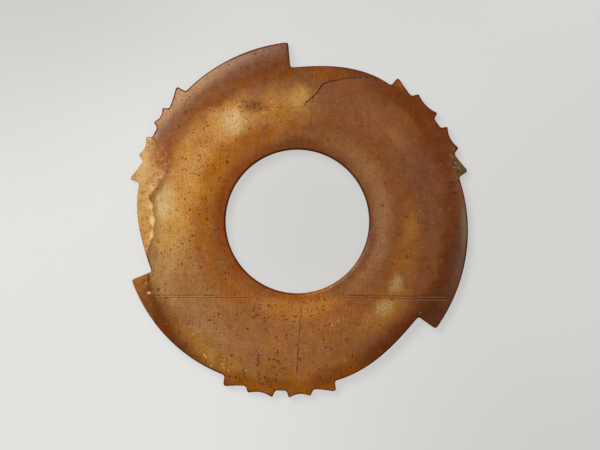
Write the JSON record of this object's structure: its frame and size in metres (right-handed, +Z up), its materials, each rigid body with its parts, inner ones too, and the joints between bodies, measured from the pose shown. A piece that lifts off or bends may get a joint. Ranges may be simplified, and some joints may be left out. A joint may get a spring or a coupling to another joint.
{
  "type": "notched disc",
  "caption": "Flat ring of polished brown stone with a round central hole, a rim of hooked curving arms, and groups of small carved teeth along the arms.",
  "frame": {"origin": "centre of the round hole, on the plane of the underside; the middle of the outline is under 1 mm away", "axes": "+Z up out of the crowned upper face, +Y towards the top of the pictured view and +X to its right"},
  "size_m": [0.1413, 0.1488, 0.0066],
  "materials": {
    "jade": "soft polish on brown nephrite, with old flake scars and small pits"
  },
  "bodies": {
    "root": {"notched_disc": "jade"}
  },
  "joints": []
}
